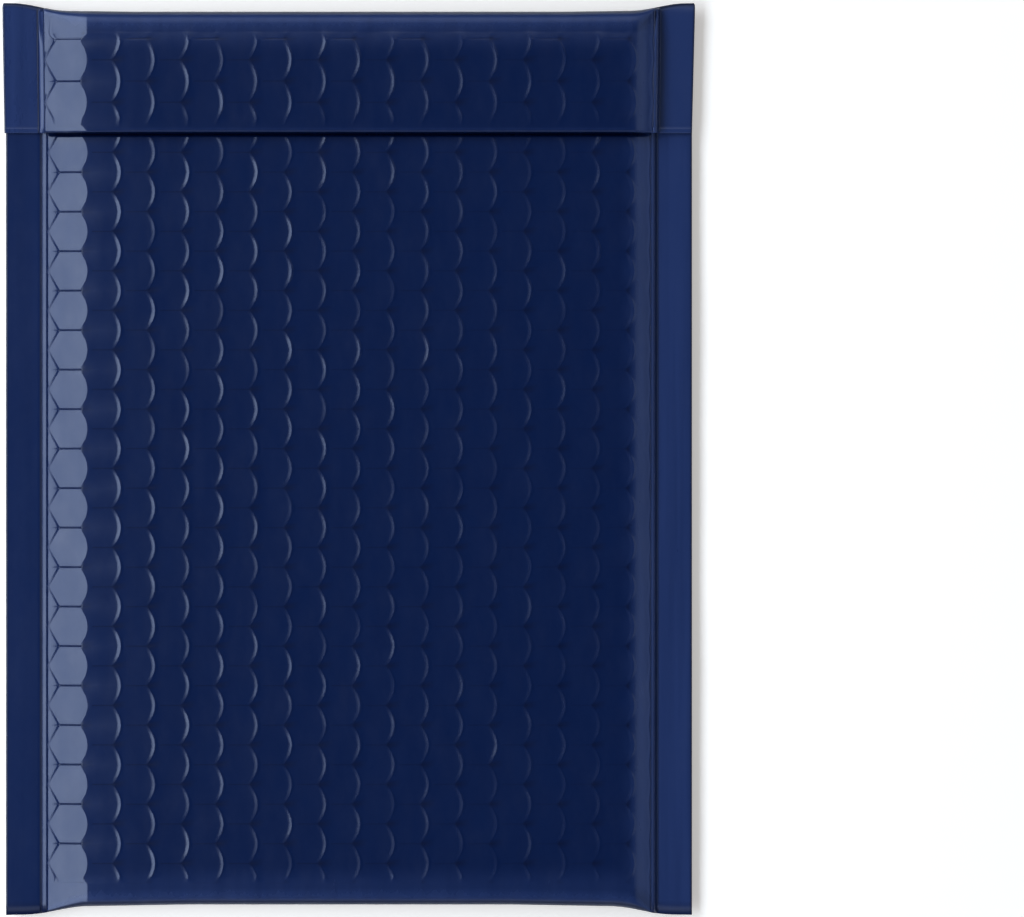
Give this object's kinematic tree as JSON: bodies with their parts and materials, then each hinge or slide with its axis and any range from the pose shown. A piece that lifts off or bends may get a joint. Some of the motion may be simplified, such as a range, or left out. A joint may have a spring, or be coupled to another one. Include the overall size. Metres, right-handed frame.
{
  "type": "padded envelope",
  "caption": "Padded film envelope lying flat: bubble-lined pocket with heat-sealed side margins, a folded bottom, and a self-seal flap folded down over its mouth.",
  "frame": {"origin": "under the middle of the envelope, on the surface it lies on", "axes": "+Y along the length, towards the flap's fold; +X across the width, to the right as seen from the front; +Z through the thickness, out of the front with the flap"},
  "size_m": [0.193, 0.2542, 0.0124],
  "materials": {
    "film": "satin polyethylene film over bubble lining",
    "adhesive": "tacky hot-melt adhesive",
    "liner": "silicone-coated release paper"
  },
  "bodies": {
    "root": {"envelope": "film", "adhesive_strip": "adhesive", "release_liner": "liner"}
  },
  "joints": []
}
